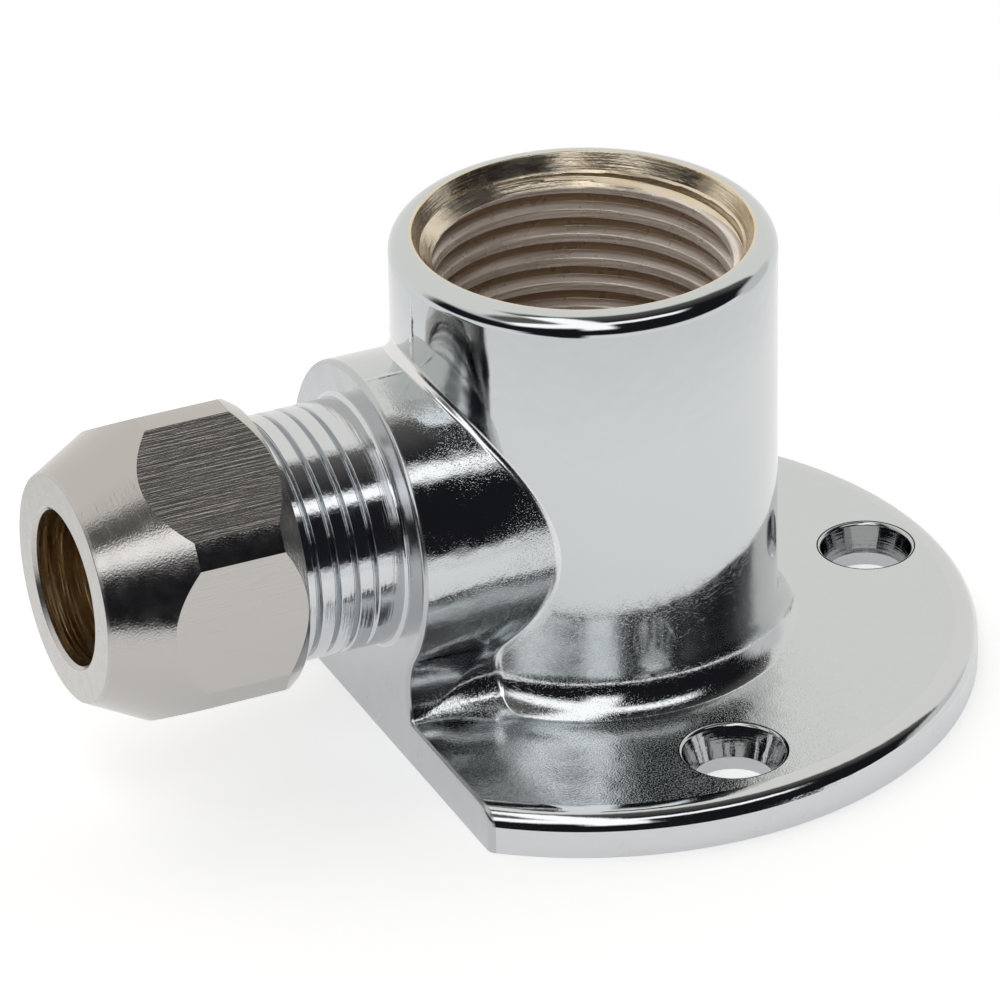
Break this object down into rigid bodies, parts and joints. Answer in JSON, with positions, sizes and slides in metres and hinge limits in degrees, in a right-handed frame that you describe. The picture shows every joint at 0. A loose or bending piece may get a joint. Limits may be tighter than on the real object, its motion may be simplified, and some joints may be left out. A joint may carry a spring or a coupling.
{
  "type": "wall plate elbow",
  "caption": "Chrome-plated wall plate elbow: screw-down flange, threaded socket facing away from the wall, and a side outlet with a compression nut and ring for pipe.",
  "frame": {"origin": "centre of the flange's wall face, on the socket's axis", "axes": "+Z out of the wall along the socket, -X along the outlet, Y across the middle plane"},
  "size_m": [0.0631, 0.052, 0.0318],
  "materials": {
    "chrome_plate": "bright chrome over forged brass, grained where forged",
    "nickel_plate": "satin nickel over turned brass, with milled flats",
    "bare_brass": "turned, dull"
  },
  "bodies": {
    "elbow": {"elbow_body": "chrome_plate"},
    "ring": {"compression_ring": "bare_brass"},
    "nut": {"compression_nut": "nickel_plate"}
  },
  "joints": [
    {"name": "nut_travel", "type": "slide", "parent": "elbow", "child": "ring", "axis": [-1, 0, 0], "range_m": [-0.00025, 0.0067]},
    {"name": "nut_turn", "type": "hinge", "parent": "ring", "child": "nut", "pos_m": [-0.0305, 0, 0.0143], "axis": [-1, 0, 0], "range_deg": [-60, 1800]}
  ],
  "couplings": [
    {"joint": "nut_travel", "follows": "nut_turn", "m_per_rad": 0.00021279}
  ]
}
